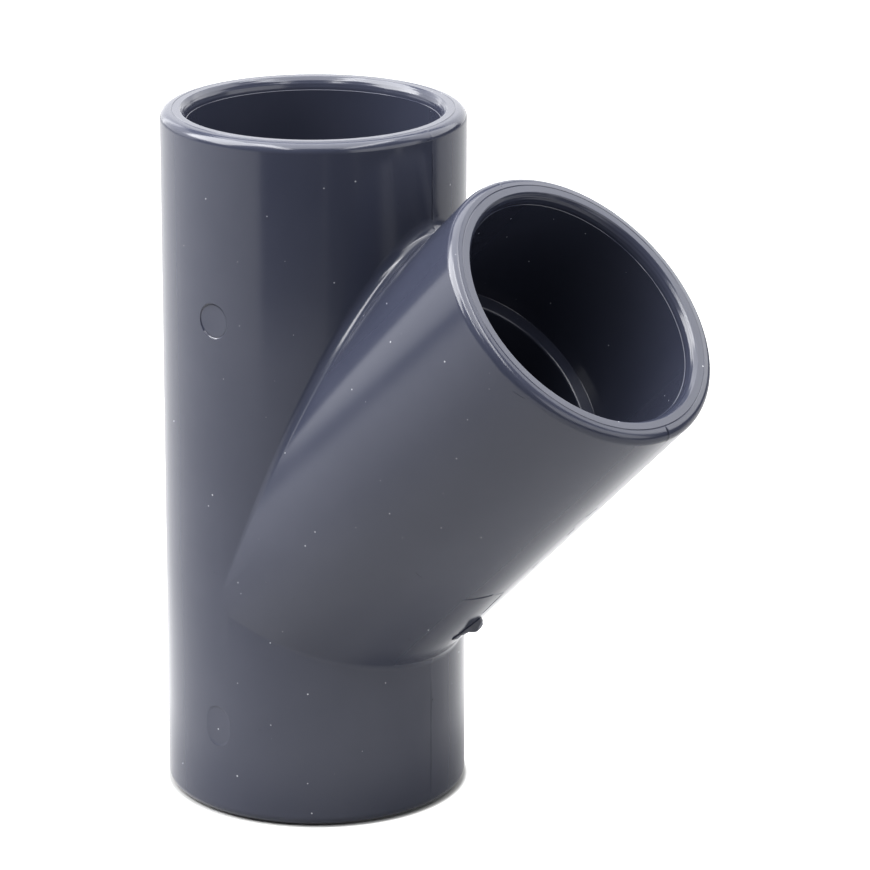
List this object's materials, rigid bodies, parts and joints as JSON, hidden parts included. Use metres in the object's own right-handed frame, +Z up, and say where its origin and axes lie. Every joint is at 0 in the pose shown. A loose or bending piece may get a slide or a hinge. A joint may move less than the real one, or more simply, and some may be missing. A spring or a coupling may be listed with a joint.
{
  "type": "lateral wye fitting",
  "caption": "One-piece 45 degree pipe wye: an upright run and an equal slanted branch, each mouth a plain solvent-weld socket with a rounded rim.",
  "frame": {"origin": "centre of the run's lower rim, on the surface that the fitting stands on", "axes": "+Z up along the run, +X towards the side that the branch leans to, so the XZ plane is the plane of symmetry and holds the parting line"},
  "size_m": [0.143, 0.073, 0.1689],
  "materials": {
    "moulded_plastic": "glossy"
  },
  "bodies": {
    "root": {"wye_body": "moulded_plastic"}
  },
  "joints": []
}
